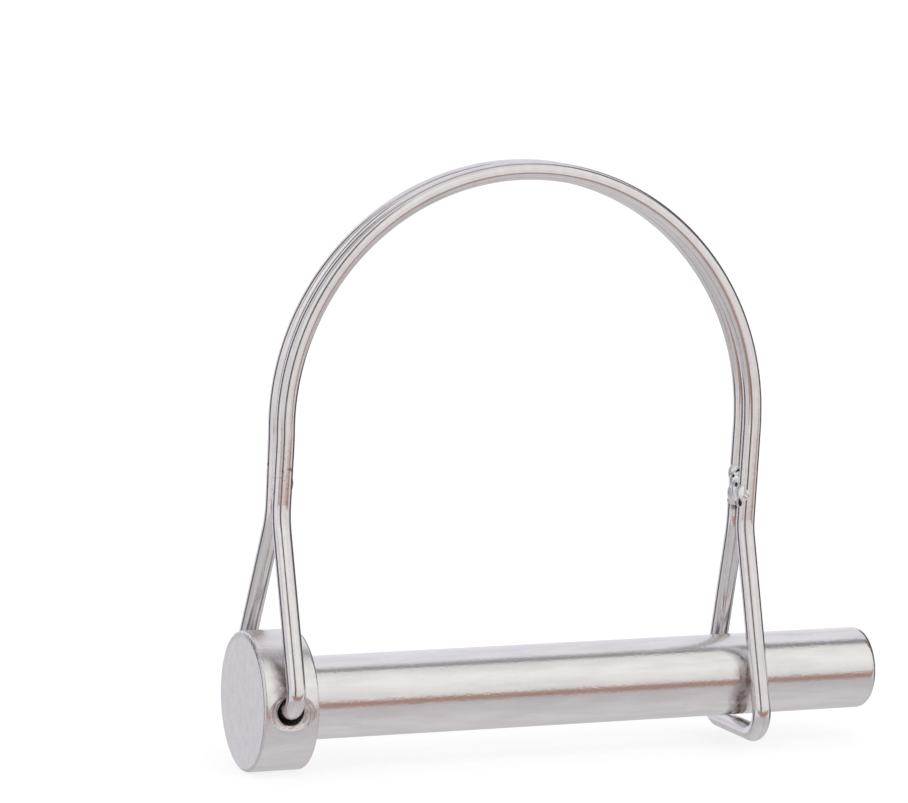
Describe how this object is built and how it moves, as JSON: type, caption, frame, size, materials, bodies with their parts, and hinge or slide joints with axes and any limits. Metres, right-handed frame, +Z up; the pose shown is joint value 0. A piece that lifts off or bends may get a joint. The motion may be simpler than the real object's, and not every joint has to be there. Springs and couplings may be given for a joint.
{
  "type": "coupler pin",
  "caption": "Headed steel pin with a sprung double-wire bail that pivots in a cross hole in the head and loops round the shank near the tip, so that it can't back out.",
  "frame": {"origin": "on the pin's axis, at the shoulder where the head meets the shank", "axes": "+X along the pin from the head to the tip, +Z up from the pin to the top of the bail's arch"},
  "size_m": [0.0652, 0.0182, 0.058],
  "materials": {
    "turned_steel": "bright plated, fine turning marks",
    "spring_wire": "bright plated drawn wire, dull at the welds"
  },
  "bodies": {
    "pin": {"pin": "turned_steel"},
    "bail": {"wire_bail": "spring_wire"}
  },
  "joints": [
    {"name": "bail_swing", "type": "hinge", "parent": "pin", "child": "bail", "pos_m": [-0.00275, 0, 0.00025], "axis": [0, -1, 0], "range_deg": [-0.4, 100], "deforming": ["wire_bail"]}
  ]
}
